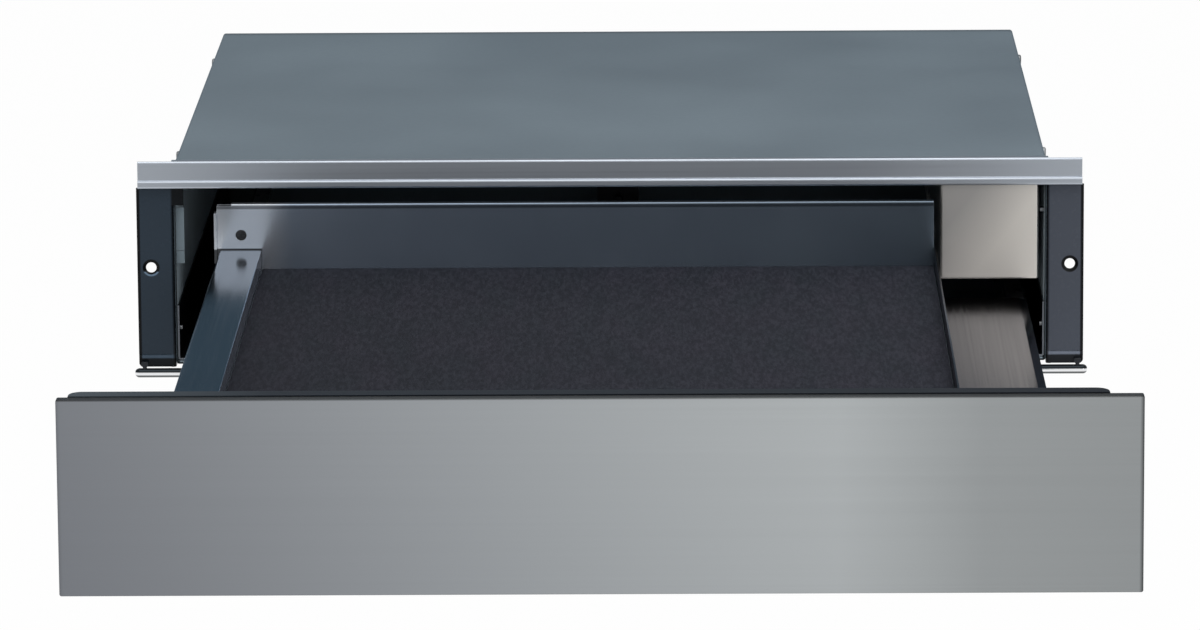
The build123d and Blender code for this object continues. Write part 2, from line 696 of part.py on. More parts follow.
def back_wall_screw():
    """Recessed screw and its clip nut behind the hole in the rear wall."""
    face = TRAY_BACK + SHEET
    clip = block(BACK_HOLE_X - 7, BACK_HOLE_X + 7, face, face + 2.3, BACK_HOLE_Z - 7, BACK_HOLE_Z + 7)
    clip -= rod((BACK_HOLE_X, face - 1, BACK_HOLE_Z), (0, 1, 0), 1.8, BACK_HOLE_RADIUS)
    clip -= rod((BACK_HOLE_X, face, BACK_HOLE_Z), (0, 1, 0), 4, SCREW_SHANK + SCREW_CLEARANCE)
    head_base = (BACK_HOLE_X, face + 0.8, BACK_HOLE_Z)
    head = rod((BACK_HOLE_X, face - 0.4, BACK_HOLE_Z), (0, 1, 0), 1.2, BACK_HOLE_RADIUS - 0.5)
    head -= Pos(BACK_HOLE_X, face - 0.4, BACK_HOLE_Z) * Box(0.8, 1.2, 4.4)
    head -= Pos(BACK_HOLE_X, face - 0.4, BACK_HOLE_Z) * Box(4.4, 1.2, 0.8)
    shank = rod(head_base, (0, 1, 0), 8, SCREW_SHANK)
    return pulled_out(Compound(children=[clip, head + shank]))


def tray_side(side):
    """Upright side of the tray that carries the drawer member of a slide."""
    outer = LEFT_TRAY_SIDE if side < 0 else RIGHT_TRAY_SIDE
    top = SHELF_TOP - SHEET if side < 0 else LEDGE_TOP - SHEET
    middle = outer - side * SHEET / 2
    bottom = BASE_PAN_Z - SHEET / 2
    points = [(middle, top), (middle, bottom), (middle - side * 10, bottom)]
    wall = folded(points, "Y", TRAY_FRONT, TRAY_BACK, bend=0.9)
    return pulled_out(drilled(wall, [rivet_hole(s, d, RIVET_DEPTH) for s, d in tray_rivet_places()]))


BASE_PAN_Z = -56.0


def tray_front_wall():
    """Front wall of the tray, screwed to the back of the front panel."""
    wall = block(SHELF_OUTER_X + 0.4, LEDGE_FLAT_X, TRAY_FRONT - SHEET, TRAY_FRONT, BASE_PAN_Z - SHEET, SHELF_TOP - 1)
    holes = [screw_hole(base, out, SCREW_LENGTH) for base, out in panel_screw_places()]
    return pulled_out(drilled(wall, holes))


def tray_base_pan():
    """Underside of the tray with a rear wall that stops short for the push latch."""
    top = BASE_PAN_Z + SHEET
    left, right = LEFT_TRAY_SIDE + 2 * SHEET, RIGHT_TRAY_SIDE - 2 * SHEET
    rear = BASE_PAN_REAR + SHEET
    pan = block(left, right, TRAY_FRONT, rear, BASE_PAN_Z, top)
    pan += block(left, RECESS_RIGHT, BASE_PAN_REAR, rear, top, TRAY_FLOOR_TOP - SHEET)
    pan += block(RECESS_RIGHT, right, BASE_PAN_REAR, rear, top, LEDGE_TOP - SHEET)
    return pulled_out(pan)


def tray_stiffeners():
    """Two hat sections across the tray that carry the floor."""
    half = SHEET / 2
    top = TRAY_FLOOR_TOP - SHEET - half
    ribs = []
    for y in (130.0, 370.0):
        points = [(y - 22, top), (y - 12, top), (y - 9, top - 12), (y + 9, top - 12), (y + 12, top), (y + 22, top)]
        ribs.append(folded(points, "X", LEFT_TRAY_SIDE + SHEET, RECESS_RIGHT, bend=1.2))
    return pulled_out(Compound(children=ribs))


def anti_slip_mat():
    """Rubber mat lying in the recess of the tray."""
    mat = block(RECESS_LEFT + 0.5, RECESS_RIGHT - 0.5, TRAY_FRONT + 1, TRAY_BACK - 0.5, TRAY_FLOOR_TOP, MAT_TOP)
    return pulled_out(fillet(mat.edges().filter_by(Axis.Z), 3))


def tray_rivets():
    """Rivets that hold the drawer members to the tray sides."""
    return pulled_out(Compound(children=[flat_rivet(s, d, SHEET + OUTER_WEB) for s, d in tray_rivet_places()]))


# ---------------------------------------------------------------- front panel
SKIN_RETURN = 7.0
LINER_LEFT = -291.5
LINER_RIGHT = 279.2
LINER_CORNER = 8.0
LINER_WALL = 2.0
LINER_LOW = PANEL_BOTTOM + 4
LINER_HIGH = PANEL_TOP - SHEET
LINER_CREST = PANEL_TOP + 0.6


def panel_skin():
    """Brushed steel front, folded back and in all round the inner door."""
    half = PANEL_WIDTH / 2
    back = PANEL_FRONT + SKIN_RETURN
    skin = block(-half, half, PANEL_FRONT, back, PANEL_BOTTOM, PANEL_TOP)
    skin = fillet(skin.edges().filter_by(Axis.Y), 1.2)
    skin = fillet(skin.faces().sort_by(Axis.Y)[0].edges(), 0.9)
    inside = block(
        -half + SHEET, half - SHEET, PANEL_FRONT + SHEET, back - SHEET, PANEL_BOTTOM + SHEET, PANEL_TOP - SHEET
    )
    opening = block(LINER_LEFT - 0.2, LINER_RIGHT + 0.2, PANEL_FRONT + SHEET, back + 1, LINER_LOW - 0.2, LINER_HIGH)
    return pulled_out(skin - inside - opening)


def panel_liner():
    """Dark inner door with rounded rear corners, set into the skin."""
    left, right, low, high = LINER_LEFT, LINER_RIGHT, LINER_LOW, LINER_HIGH
    front, wall = PANEL_FRONT + SHEET, LINER_WALL
    liner = block(left, right, front, PANEL_BACK, low, high)
    liner += block(left, right, PANEL_FRONT + SKIN_RETURN + 0.2, PANEL_BACK, low, LINER_CREST)
    liner = fillet(edges_at(liner, Axis.Z, lambda c: c.Y > PANEL_BACK - 1), LINER_CORNER)
    liner = fillet(liner.faces().sort_by(Axis.Y)[-1].edges(), 1.0)
    core = block(left + wall, right - wall, front - 1, PANEL_BACK - wall, low + wall, high - wall)
    core = fillet(edges_at(core, Axis.Z, lambda c: c.Y > PANEL_BACK - 3), LINER_CORNER - wall)
    liner -= core
    holes = [screw_hole(base, out, SCREW_LENGTH) for base, out in panel_screw_places()]
    return pulled_out(drilled(liner, holes))


def panel_insulation():
    """Pad of mineral wool inside the front panel."""
    low, high = PANEL_BOTTOM + 8, PANEL_TOP - 6
    pad = block(-272, 272, PANEL_FRONT + SHEET + 0.5, PANEL_BACK - LINER_WALL - 5, low, high)
    return pulled_out(pad)


def panel_screw_places():
    """(head base, outward) of the screws between tray front wall and panel."""
    return [((x, TRAY_FRONT, z), (0, 1, 0)) for x in (-190.0, 0.0, 190.0) for z in (-44.0, -12.0)]


def panel_screws():
    """The six panel screws, as one group."""
    screws = [pan_screw(base, out, SCREW_LENGTH - 1) for base, out in panel_screw_places()]
    return pulled_out(Compound(children=screws))


def panel_bumpers():
    """Four rubber buffers that meet the flanges when the drawer shuts."""
    buffers = []
    for x in (-281.0, 281.0):
        for z in (-48.0, 20.0):
            stud = rod((x, PANEL_BACK, z), (0, 1, 0), -PANEL_BACK - 0.4, 4.5)
            buffers.append(fillet(stud.edges().filter_by(GeomType.CIRCLE).sort_by(Axis.Y)[-1], 1.5))
    return pulled_out(Compound(children=buffers))


# ---------------------------------------------------------------- controls
CONTROL_HALF_WIDTH = 16.0
CONTROL_FRONT = 4.0
CONTROL_BACK = 96.0
SPINDLE_RADIUS = 3.0
BUSH_RADIUS = 4.5
LENS_RADIUS = 3.0
SWITCH_HALF = (6.0, 11.0)
LEDGE_UNDER = LEDGE_TOP - SHEET


def control_cutouts():
    """Holes for the thermostat bush, the switch case and the lamp."""
    low, high = LEDGE_TOP - 3, CONTROL_TOP + 3
    half_x, half_y = (size + SCREW_CLEARANCE for size in SWITCH_HALF)
    return [
        rod((CONTROL_X, KNOB_Y, low), (0, 0, 1), high - low, BUSH_RADIUS + SCREW_CLEARANCE),
        block(CONTROL_X - half_x, CONTROL_X + half_x, SWITCH_Y - half_y, SWITCH_Y + half_y, low, high),
        rod((CONTROL_X, LAMP_Y, low), (0, 0, 1), high - low, LENS_RADIUS + SCREW_CLEARANCE),
    ]


def control_plate():
    """Low plate on the ledge, behind the front panel, that frames the controls."""
    left, right = CONTROL_X - CONTROL_HALF_WIDTH, CONTROL_X + CONTROL_HALF_WIDTH
    plate = block(left, right, CONTROL_FRONT, CONTROL_BACK, LEDGE_TOP, CONTROL_TOP)
    plate = fillet(plate.edges().filter_by(Axis.Z), 4)
    plate = fillet(plate.faces().sort_by(Axis.Z)[-1].edges(), 0.6)
    return pulled_out(drilled(plate, control_cutouts()))


def thermostat_body():
    """Thermostat under the ledge, with the bush that carries the knob spindle."""
    half = 12.5
    body = block(CONTROL_X - half, CONTROL_X + half, KNOB_Y - half, KNOB_Y + half, LEDGE_UNDER - 20, LEDGE_UNDER)
    body = fillet(body.edges().filter_by(Axis.Z), 2)
    body += rod((CONTROL_X, KNOB_Y, LEDGE_UNDER), (0, 0, 1), CONTROL_TOP - LEDGE_UNDER, BUSH_RADIUS)
    body -= rod((CONTROL_X, KNOB_Y, LEDGE_UNDER - 14), (0, 0, 1), 24, SPINDLE_RADIUS + RUNNING_FIT)
    return pulled_out(body)


def thermostat_knob():
    """Low turned knob with a grip bar, on its spindle."""
    base = CONTROL_TOP + 0.5
    knob = rod((CONTROL_X, KNOB_Y, base), (0, 0, 1), 2.4, 11)
    knob = fillet(knob.edges().filter_by(GeomType.CIRCLE).sort_by(Axis.Z)[-1], 1.0)
    grip = block(CONTROL_X - 3.2, CONTROL_X + 3.2, KNOB_Y - 9.5, KNOB_Y + 9.5, base + 2, base + 7)
    grip = fillet(grip.edges().filter_by(Axis.Z), 2.5)
    grip = fillet(grip.faces().sort_by(Axis.Z)[-1].edges(), 0.8)
    spindle = rod((CONTROL_X, KNOB_Y, LEDGE_UNDER - 13), (0, 0, 1), base + 2 - LEDGE_UNDER + 13, SPINDLE_RADIUS)
    pointer = block(CONTROL_X - 0.5, CONTROL_X + 0.5, KNOB_Y - 8.5, KNOB_Y - 3, base + 7, base + 7.3)
    return pulled_out(knob + grip + spindle + pointer)


def switch_body():
    """Snap-in switch case with a bezel and two bores for the rocker's pins."""
    half_x, half_y = SWITCH_HALF
    rim = 1.2
    bezel_top = CONTROL_TOP + 1.0
    case = block(CONTROL_X - half_x, CONTROL_X + half_x, SWITCH_Y - half_y, SWITCH_Y + half_y, -42, CONTROL_TOP)
    case += block(
        CONTROL_X - half_x - rim, CONTROL_X + half_x + rim,
        SWITCH_Y - half_y - rim, SWITCH_Y + half_y + rim, CONTROL_TOP, bezel_top,
    )
    case -= block(CONTROL_X - 4.5, CONTROL_X + 4.5, SWITCH_Y - 9.4, SWITCH_Y + 9.4, ROCKER_Z - 7, bezel_top + 1)
    case -= rod((CONTROL_X - 7, SWITCH_Y, ROCKER_Z), (1, 0, 0), 14, 1.05)
    return pulled_out(case)


def rocker_switch():
    """Rocker with a shallow V top and two pins, tipped to its off side."""
    outline = [(-8.6, 4.4), (0, 2.9), (8.6, 4.4), (7.8, -1.6), (3, -3.2), (-3, -3.2), (-7.8, -1.6)]
    rocker = prism(outline, "X", -4.1, 4.1)
    rocker += rod((-5.7, 0, 0), (1, 0, 0), 11.4, 1.0)
    rocker = Rot(ROCKER_TILT, 0, 0) * rocker
    return pulled_out(Pos(CONTROL_X, SWITCH_Y, ROCKER_Z) * rocker)


def pilot_lamp():
    """Indicator lens with a domed head."""
    stem = rod((CONTROL_X, LAMP_Y, CONTROL_TOP - 12), (0, 0, 1), 12, LENS_RADIUS)
    head = rod((CONTROL_X, LAMP_Y, CONTROL_TOP), (0, 0, 1), 2.2, LENS_RADIUS + 1)
    head = fillet(head.edges().filter_by(GeomType.CIRCLE).sort_by(Axis.Z)[-1], 1.8)
    return pulled_out(stem + head)


# ---------------------------------------------------------------- all the parts
def all_parts():
    """Every sub-part by its node name, in the rest pose."""
    parts = {
        "top_cover": top_cover(),
        "floor_plate": floor_plate(),
        "rear_wall": rear_wall(),
        "front_trim": front_trim(),
        "cross_rod": cross_rod(),
        "rod_posts": rod_posts(),
        "housing_screws": housing_screws(),
        "left_runner_channel": runner_channel(LEFT_SLIDE_X, -WALL_INNER),
        "right_runner_channel": runner_channel(RIGHT_SLIDE_X, WALL_INNER),
        "slide_rivets": slide_rivets(),
        "blower_box": blower_box(),
        "blower_baffle": blower_baffle(),
        "fan_brackets": fan_brackets(),
        "fan_wheel": fan_wheel(),
        "fan_motor": fan_motor(),
        "heating_element": heating_element(),
        "thermal_cutout": thermal_cutout(),
        "terminal_block": terminal_block(),
        "cable_gland": cable_gland(),
        "latch_body": latch_body(),
        "latch_plunger": latch_plunger(),
        "latch_spring": latch_spring(),
        "latch_striker": latch_striker(),
        "tray_floor": tray_floor(),
        "left_shelf": left_shelf(),
        "right_ledge": right_ledge(),
        "tray_back_wall": tray_back_wall(),
        "back_wall_screw": back_wall_screw(),
        "tray_front_wall": tray_front_wall(),
        "tray_base_pan": tray_base_pan(),
        "tray_stiffeners": tray_stiffeners(),
        "tray_rivets": tray_rivets(),
        "anti_slip_mat": anti_slip_mat(),
        "panel_skin": panel_skin(),
        "panel_liner": panel_liner(),
        "panel_insulation": panel_insulation(),
        "panel_screws": panel_screws(),
        "panel_bumpers": panel_bumpers(),
        "control_plate": control_plate(),
        "thermostat_body": thermostat_body(),
        "thermostat_knob": thermostat_knob(),
        "switch_body": switch_body(),
        "rocker_switch": rocker_switch(),
        "pilot_lamp": pilot_lamp(),
    }
    for name, side, slide_x in (("left", -1, LEFT_SLIDE_X), ("right", 1, RIGHT_SLIDE_X)):
        parts[name + "_side_wall"] = side_wall(side)
        parts[name + "_flange"] = flange(side)
        parts[name + "_slide_outer"] = slide_outer(slide_x, side)
        parts[name + "_slide_middle"] = slide_middle(slide_x, side)
        parts[name + "_slide_inner"] = slide_inner(slide_x, side)
        parts[name + "_outer_cage"] = outer_cage(slide_x, side)
        parts[name + "_inner_cage"] = inner_cage(slide_x, side)
        parts["tray_" + name + "_side"] = tray_side(side)
    return parts


def main():
    """Write one STEP file per sub-part, with y = 0 moved to the flanges' back plane."""
    os.makedirs("parts", exist_ok=True)
    for name, part in all_parts().items():
        export_step(Pos(0, -FLANGE_SHEET, 0) * part, os.path.join("parts", name + ".step"))


main()
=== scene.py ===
import json
import math

import bpy
from mathutils import Matrix, Vector

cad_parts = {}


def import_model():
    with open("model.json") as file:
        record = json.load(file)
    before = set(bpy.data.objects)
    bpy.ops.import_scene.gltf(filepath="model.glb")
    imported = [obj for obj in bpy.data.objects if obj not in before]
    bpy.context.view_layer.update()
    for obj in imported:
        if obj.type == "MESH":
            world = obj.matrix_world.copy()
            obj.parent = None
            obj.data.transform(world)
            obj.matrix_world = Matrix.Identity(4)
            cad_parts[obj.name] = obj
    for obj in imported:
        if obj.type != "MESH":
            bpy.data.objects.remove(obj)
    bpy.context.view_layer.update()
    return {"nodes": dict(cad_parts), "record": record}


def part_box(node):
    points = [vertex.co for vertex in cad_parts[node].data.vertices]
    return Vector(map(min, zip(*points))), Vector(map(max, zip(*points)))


# The looks of a built-in warming drawer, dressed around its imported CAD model.
# Metres, in the CAD frame: +X right, +Y into the cabinet, +Z up.

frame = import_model()
nodes = frame["nodes"]

# ---------------------------------------------------------------- view
IMAGE_WIDTH = 1200
FOCAL_PIXELS = 7428.4
SENSOR_WIDTH = 36.0
CAMERA_PLACE = (0.05304, -4.50195, 0.87552)
CAMERA_YAW = -0.01322
CAMERA_PITCH = 0.19876
CAMERA_ROLL = -0.00701

# ---------------------------------------------------------------- stage
FLOOR_Z = -0.42
FLOOR_HALF = 30.0
FLOOR_PAINT = (0.9, 0.9, 0.9, 1)
FLOOR_ROUGHNESS = 0.9
FLOOR_WHITE_SHARE = 0.97
WORLD_LEVEL = 0.55
CARD_COLOUR = (0.07, 0.112, 0.145, 1)
# Each card: its reach in X, its place in Y, its reach in Z.
FAR_CARD = ((-6.0, 6.0), 3.0, (FLOOR_Z, 1.5))
NEAR_CARD = ((-0.262, 0.19), -0.013, (0.0415, 0.075))
# Each lamp: its place, target, size and power in watts.
OVERHEAD_LAMP = ((0.2, -0.6, 2.6), (0, 0, 0), 2.6, 42)
FRONT_LAMP = ((1.3, -3.3, 0.9), (-0.1, -0.1, 0), 1.6, 18)


def srgb(red, green, blue):
    """A linear colour from 0-255 display values."""
    def one(value):
        value /= 255
        return value / 12.92 if value <= 0.04045 else ((value + 0.055) / 1.055) ** 2.4
    return (one(red), one(green), one(blue), 1.0)


# ---------------------------------------------------------------- materials
WHITE = (1, 1, 1, 1)
# The range of a noise pattern that tones and roughness are spread over.
PATTERN_LOW = 0.3
PATTERN_HIGH = 0.7
BEVEL_SAMPLES = 4


class Finish:
    """A node material: a Principled shader and short ways to wire patterns into it."""

    def __init__(self, name, metallic=0.0, roughness=0.5, **sockets):
        self.material = bpy.data.materials.new(name)
        self.material.use_nodes = True
        self.tree = self.material.node_tree
        self.shader = self.tree.nodes["Principled BSDF"]
        self.set(self.shader, Metallic=metallic, Roughness=roughness, **sockets)
        self.place = self.add("ShaderNodeTexCoord").outputs["Object"]
        self.split = self.add("ShaderNodeSeparateXYZ")
        self.join(self.place, self.split.inputs["Vector"])

    def add(self, kind, **sockets):
        """A new node with its input values."""
        node = self.tree.nodes.new(kind)
        self.set(node, **sockets)
        return node

    def set(self, node, **sockets):
        """Values for a node's inputs, with _ standing for a space."""
        for name, value in sockets.items():
            node.inputs[name.replace("_", " ")].default_value = value

    def join(self, output, target):
        self.tree.links.new(output, target)

    def stretched(self, scale):
        """Object coordinates, stretched by a scale for each axis."""
        mapping = self.add("ShaderNodeMapping", Scale=scale)
        self.join(self.place, mapping.inputs["Vector"])
        return mapping.outputs["Vector"]

    def noise(self, scale, detail=3.0, size=(1, 1, 1), roughness=0.5):
        """A noise value about 0.5."""
        node = self.add("ShaderNodeTexNoise", Scale=scale, Detail=detail, Roughness=roughness)
        self.join(self.stretched(size), node.inputs["Vector"])
        return node.outputs["Fac"]

    def along(self, axis, low, high):
        """0 to 1 along an axis of the object, between two places."""
        return self.spread(self.split.outputs[axis], low, high, 0.0, 1.0)

    def toward(self, direction, low, high):
        """0 to 1 along a slanting direction."""
        node = self.tree.nodes.new("ShaderNodeVectorMath")
        node.operation = "DOT_PRODUCT"
        self.join(self.place, node.inputs[0])
        node.inputs[1].default_value = direction
        return self.spread(node.outputs["Value"], low, high, 0.0, 1.0)

    def maths(self, operation, first, second=None):
        """A Math node of one or two values; a number stands for itself."""
        node = self.tree.nodes.new("ShaderNodeMath")
        node.operation = operation
        for socket, value in zip(node.inputs, (first, second)):
            if isinstance(value, (int, float)):
                socket.default_value = value
            elif value is not None:
                self.join(value, socket)
        return node.outputs[0]

    def spread(self, value, low, high, to_low, to_high):
        """A value mapped from one range to another."""
        node = self.add("ShaderNodeMapRange", From_Min=low, From_Max=high, To_Min=to_low, To_Max=to_high)
        self.join(value, node.inputs["Value"])
        return node.outputs["Result"]

    def ramp(self, value, stops, kind=None):
        """A colour ramp: (place, colour) pairs."""
        node = self.add("ShaderNodeValToRGB")
        elements = node.color_ramp.elements
        while len(elements) < len(stops):
            elements.new(0.5)
        for element, (place, colour) in zip(elements, stops):
            element.position = place
            element.color = colour
        node.color_ramp.interpolation = kind or ("B_SPLINE" if len(stops) > 2 else "LINEAR")
        self.join(value, node.inputs["Fac"])
        return node.outputs["Color"]

    def between(self, pattern, dark, light):
        """Two tones, blended by a noise pattern."""
        return self.ramp(pattern, [(PATTERN_LOW, dark), (PATTERN_HIGH, light)])

    def zones(self, axis, stops):
        """Colours along an axis: (place in metres, colour) pairs, with even steps between them."""
        low, high = stops[0][0], stops[-1][0]
        shares = [((place - low) / (high - low), colour) for place, colour in stops]
        return self.ramp(self.along(axis, low, high), shares, "LINEAR")

    def mixed(self, first, second, blend="MULTIPLY", factor=None):
        """Two colours blended, fully or by a value."""
        node = self.tree.nodes.new("ShaderNodeMix")
        node.data_type = "RGBA"
        node.blend_type = blend
        node.inputs[0].default_value = 1.0
        if factor:
            self.join(factor, node.inputs[0])
        self.join(first, node.inputs[6])
        self.join(second, node.inputs[7])
        return node.outputs[2]

    def colour(self, output):
        self.join(output, self.shader.inputs["Base Color"])

    def roughness(self, value, low, high):
        """Roughness from low to high, by a noise pattern."""
        spread = self.spread(value, PATTERN_LOW, PATTERN_HIGH, low, high)
        self.join(spread, self.shader.inputs["Roughness"])

    def bump(self, height, depth, rounding=0.0):
        """A fine relief, in metres, over slightly rounded edges."""
        node = self.add("ShaderNodeBump", Strength=1.0, Distance=depth)
        self.join(height, node.inputs["Height"])
        if rounding:
            edge = self.add("ShaderNodeBevel", Radius=rounding)
            edge.samples = BEVEL_SAMPLES
            self.join(edge.outputs["Normal"], node.inputs["Normal"])
        self.join(node.outputs["Normal"], self.shader.inputs["Normal"])


def grey(level):
    """A neutral factor for tinting another colour."""
    return (level, level, level, 1)


PANEL_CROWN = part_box("panel_skin")[1][2]
PANEL_HALF = 0.2975
PANEL_SHEEN = ((1, 0, 0.4), -0.33, 0.15)


def panel_steel():
    """Brushed front: grain along X, a painted sheen, a right end painted duller as shade, and edges painted
    dark as shade.
    """
    finish = Finish("panel_steel", metallic=1.0)
    grain = finish.noise(60, 4, size=(0.05, 1, 14))
    # Painted sheen: a broad diagonal gradient that stands for a reflection.
    sheen = finish.ramp(finish.toward(*PANEL_SHEEN), [
        (0.0, srgb(114, 117, 123)), (0.5, srgb(150, 154, 158)), (1.0, srgb(174, 178, 179)),
    ])
    # Painted shade: the right end is painted duller.
    end = finish.zones("X", [(-0.298, WHITE), (0.13, WHITE), (0.21, grey(0.72)), (0.298, grey(0.66))])
    tone = finish.between(grain, grey(0.97), WHITE)
    # Painted shade: dark lines along the left and right edges.
    painted_rim_shade = finish.zones("X", [
        (-PANEL_HALF, grey(0.8)), (-0.2968, WHITE), (0.2962, WHITE), (0.2968, grey(0.12)),
        (PANEL_HALF, grey(0.1)),
    ])
    # Painted shade: a dark line along the top edge.
    painted_top_edge_shade = finish.zones("Z", [
        (0.0, WHITE), (PANEL_CROWN - 0.0012, WHITE), (PANEL_CROWN - 0.0003, grey(0.1)),
    ])
    body = finish.mixed(sheen, finish.mixed(end, tone))
    finish.colour(finish.mixed(body, finish.mixed(painted_rim_shade, painted_top_edge_shade)))
    finish.roughness(grain, 0.34, 0.42)
    finish.bump(grain, 0.00001, 0.0004)
    return finish.material


TRIM_FOOT = 0.049
TRIM_HEM = 0.0509
TRIM_FACE = 0.0516
TRIM_HEAD = 0.07


def trim_steel():
    """Brushed trim of one plain tone, with a painted highlight along its lower edge."""
    finish = Finish("trim_steel", metallic=1.0)
    grain = finish.noise(60, 4, size=(0.06, 10, 14))
    base = finish.between(finish.noise(9, 1), srgb(158, 164, 172), srgb(164, 170, 178))
    # Painted highlight: a brighter band along the lower edge.
    painted_hem_lighting = finish.zones("Z", [
        (TRIM_FOOT, grey(1.5)), (TRIM_HEM, grey(1.4)), (TRIM_FACE, WHITE), (TRIM_HEAD, WHITE),
    ])
    tone = finish.between(grain, grey(0.97), WHITE)
    finish.colour(finish.mixed(finish.mixed(base, tone), painted_hem_lighting))
    finish.roughness(grain, 0.32, 0.38)
    finish.bump(grain, 0.000006, 0.0003)
    return finish.material


ROOF_FOLD = 0.508
ROOF_REAR = 0.5185


def coated_steel():
    """Aluminised housing sheet: blue-grey, satin, with faint clouds, and painted shade darkening the rear
    folded edge.
    """
    finish = Finish("coated_steel", metallic=0.8)
    cloud = finish.noise(6, 3)
    spangle = finish.noise(240, 2)
    base = finish.between(cloud, srgb(118, 130, 139), srgb(124, 137, 146))
    tone = finish.between(spangle, grey(0.96), WHITE)
    # Painted shade: darker across the rear folded edge.
    painted_fold_shade = finish.zones("Y", [(0.0, WHITE), (ROOF_FOLD, WHITE), (0.513, grey(0.72)), (ROOF_REAR, grey(0.6))])
    finish.colour(finish.mixed(finish.mixed(base, tone), painted_fold_shade))
    finish.roughness(cloud, 0.42, 0.47)
    finish.bump(spangle, 0.000015, 0.0003)
    return finish.material


WALL_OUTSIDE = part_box("right_side_wall")[1][0]
BARE_EDGE = 0.0034
PAINTED_FROM = 0.004


def channel_metal():
    """Runner channels: black, with the front edge painted pale as a highlight, and painted shade a little
    darker towards the rear.
    """
    finish = Finish("channel_metal", metallic=0.2, Specular_IOR_Level=0.2)
    cloud = finish.noise(60, 3)
    # Painted highlight: the front edge is painted pale. Painted shade: the black darkens towards the rear.
    painted_edge_highlight = srgb(150, 156, 164)
    base = finish.zones("Y", [
        (0.0, painted_edge_highlight), (BARE_EDGE, painted_edge_highlight), (PAINTED_FROM, srgb(16, 18, 22)), (0.6, srgb(10, 11, 14)),
    ])
    tone = finish.between(cloud, grey(0.8), WHITE)
    finish.colour(finish.mixed(base, tone))
    finish.roughness(cloud, 0.35, 0.5)
    finish.bump(cloud, 0.00002, 0.0003)
    return finish.material


def wall_steel():
    """Side wall of the housing: dull coated sheet, painted paler on its inner face as light, with its front
    edge painted black as shade.
    """
    finish = Finish("wall_steel", metallic=1.0, roughness=0.95)
    cloud = finish.noise(30, 3)
    # Painted light: the inner face is painted paler than the outer one.
    painted_lit_inside = finish.between(cloud, srgb(176, 190, 198), srgb(188, 202, 210))
    outside = finish.between(finish.noise(6, 3), srgb(116, 128, 137), srgb(123, 136, 145))
    # Painted shade: the front edge is painted black.
    edge = finish.zones("Y", [(-0.002, grey(0.1)), (0.0016, grey(0.1)), (0.0022, WHITE), (0.5, WHITE)])
    side = finish.maths("ABSOLUTE", finish.split.outputs["X"])
    outer = finish.spread(side, WALL_OUTSIDE - 0.0005, WALL_OUTSIDE - 0.0002, 0, 1)
    finish.colour(finish.mixed(finish.mixed(painted_lit_inside, edge), outside, "MIX", outer))
    finish.roughness(cloud, 0.9, 1.0)
    finish.bump(cloud, 0.00003, 0.0003)
    return finish.material


SHELF_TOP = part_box("left_shelf")[1][2]
SHELF_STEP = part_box("left_shelf")[1][0]


def shelf_steel():
    """The polished side shelf, nearly a mirror, with its grain along the drawer; its step face has painted
    light, a lighter, less metallic tone.
    """
    finish = Finish("shelf_steel", metallic=1.0, Specular_Tint=(0.78, 0.82, 0.88, 1))
    grain = finish.noise(60, 3, size=(12, 0.1, 12))
    base = finish.between(finish.noise(9, 1), srgb(136, 140, 144), srgb(144, 148, 152))
    tone = finish.between(grain, grey(0.95), WHITE)
    # Painted light: the step face below the shelf top gets a lighter, less metallic tone.
    painted_step_light = finish.between(finish.noise(20, 2), srgb(104, 110, 122), srgb(112, 118, 130))
    low = finish.spread(finish.split.outputs["Z"], SHELF_TOP - 0.0006, SHELF_TOP - 0.001, 0, 1)
    finish.colour(finish.mixed(finish.mixed(base, tone), painted_step_light, "MIX", low))
    finish.join(finish.spread(low, 0, 1, 1.0, 0.3), finish.shader.inputs["Metallic"])
    finish.roughness(grain, 0.11, 0.17)
    finish.bump(grain, 0.000003, 0.0002)
    return finish.material


WALL_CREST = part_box("tray_back_wall")[1][2]


def back_steel():
    """The tray's rear wall: a painted reflection, bright at the left end and hazy blue-grey beyond it, a top
    edge dulled by painted shade, and painted shade below at the left end.
    """
    finish = Finish("back_steel", metallic=0.82, Specular_IOR_Level=0.3)
    cloud = finish.noise(14, 2)
    base = finish.between(cloud, srgb(174, 180, 188), srgb(184, 189, 196))
    # Painted reflection: bright at the left end, hazy blue-grey and darker beyond it.
    across = finish.zones("X", [
        (-0.244, grey(1.25)), (-0.211, grey(1.25)),
        (-0.195, (0.76, 0.86, 0.98, 1)), (0.2, (0.42, 0.5, 0.56, 1)),
    ])
    top = WALL_CREST
    # Painted shade: the top edge is painted dull.
    painted_hem_lighting = finish.zones("Z", [
        (0.0, WHITE), (top - 0.0034, WHITE), (top - 0.0028, grey(0.4)), (top - 0.0022, grey(0.4)),
        (top - 0.0017, grey(0.5)), (top, grey(0.5)),
    ])
    # Painted shade: dark below the shelf top, beside the step.
    painted_seam_shade = finish.zones("Z", [
        (0.0, grey(0.1)), (SHELF_TOP + 0.0004, grey(0.1)), (SHELF_TOP + 0.001, WHITE), (0.06, WHITE),
    ])
    beside = finish.spread(finish.split.outputs["X"], SHELF_STEP + 0.0004, SHELF_STEP, 0, 1)
    body = finish.mixed(finish.mixed(base, across), painted_hem_lighting)
    finish.colour(finish.mixed(body, painted_seam_shade, "MULTIPLY", beside))
    finish.roughness(cloud, 0.12, 0.17)
    finish.bump(finish.noise(200, 2), 0.000002, 0.0002)
    return finish.material


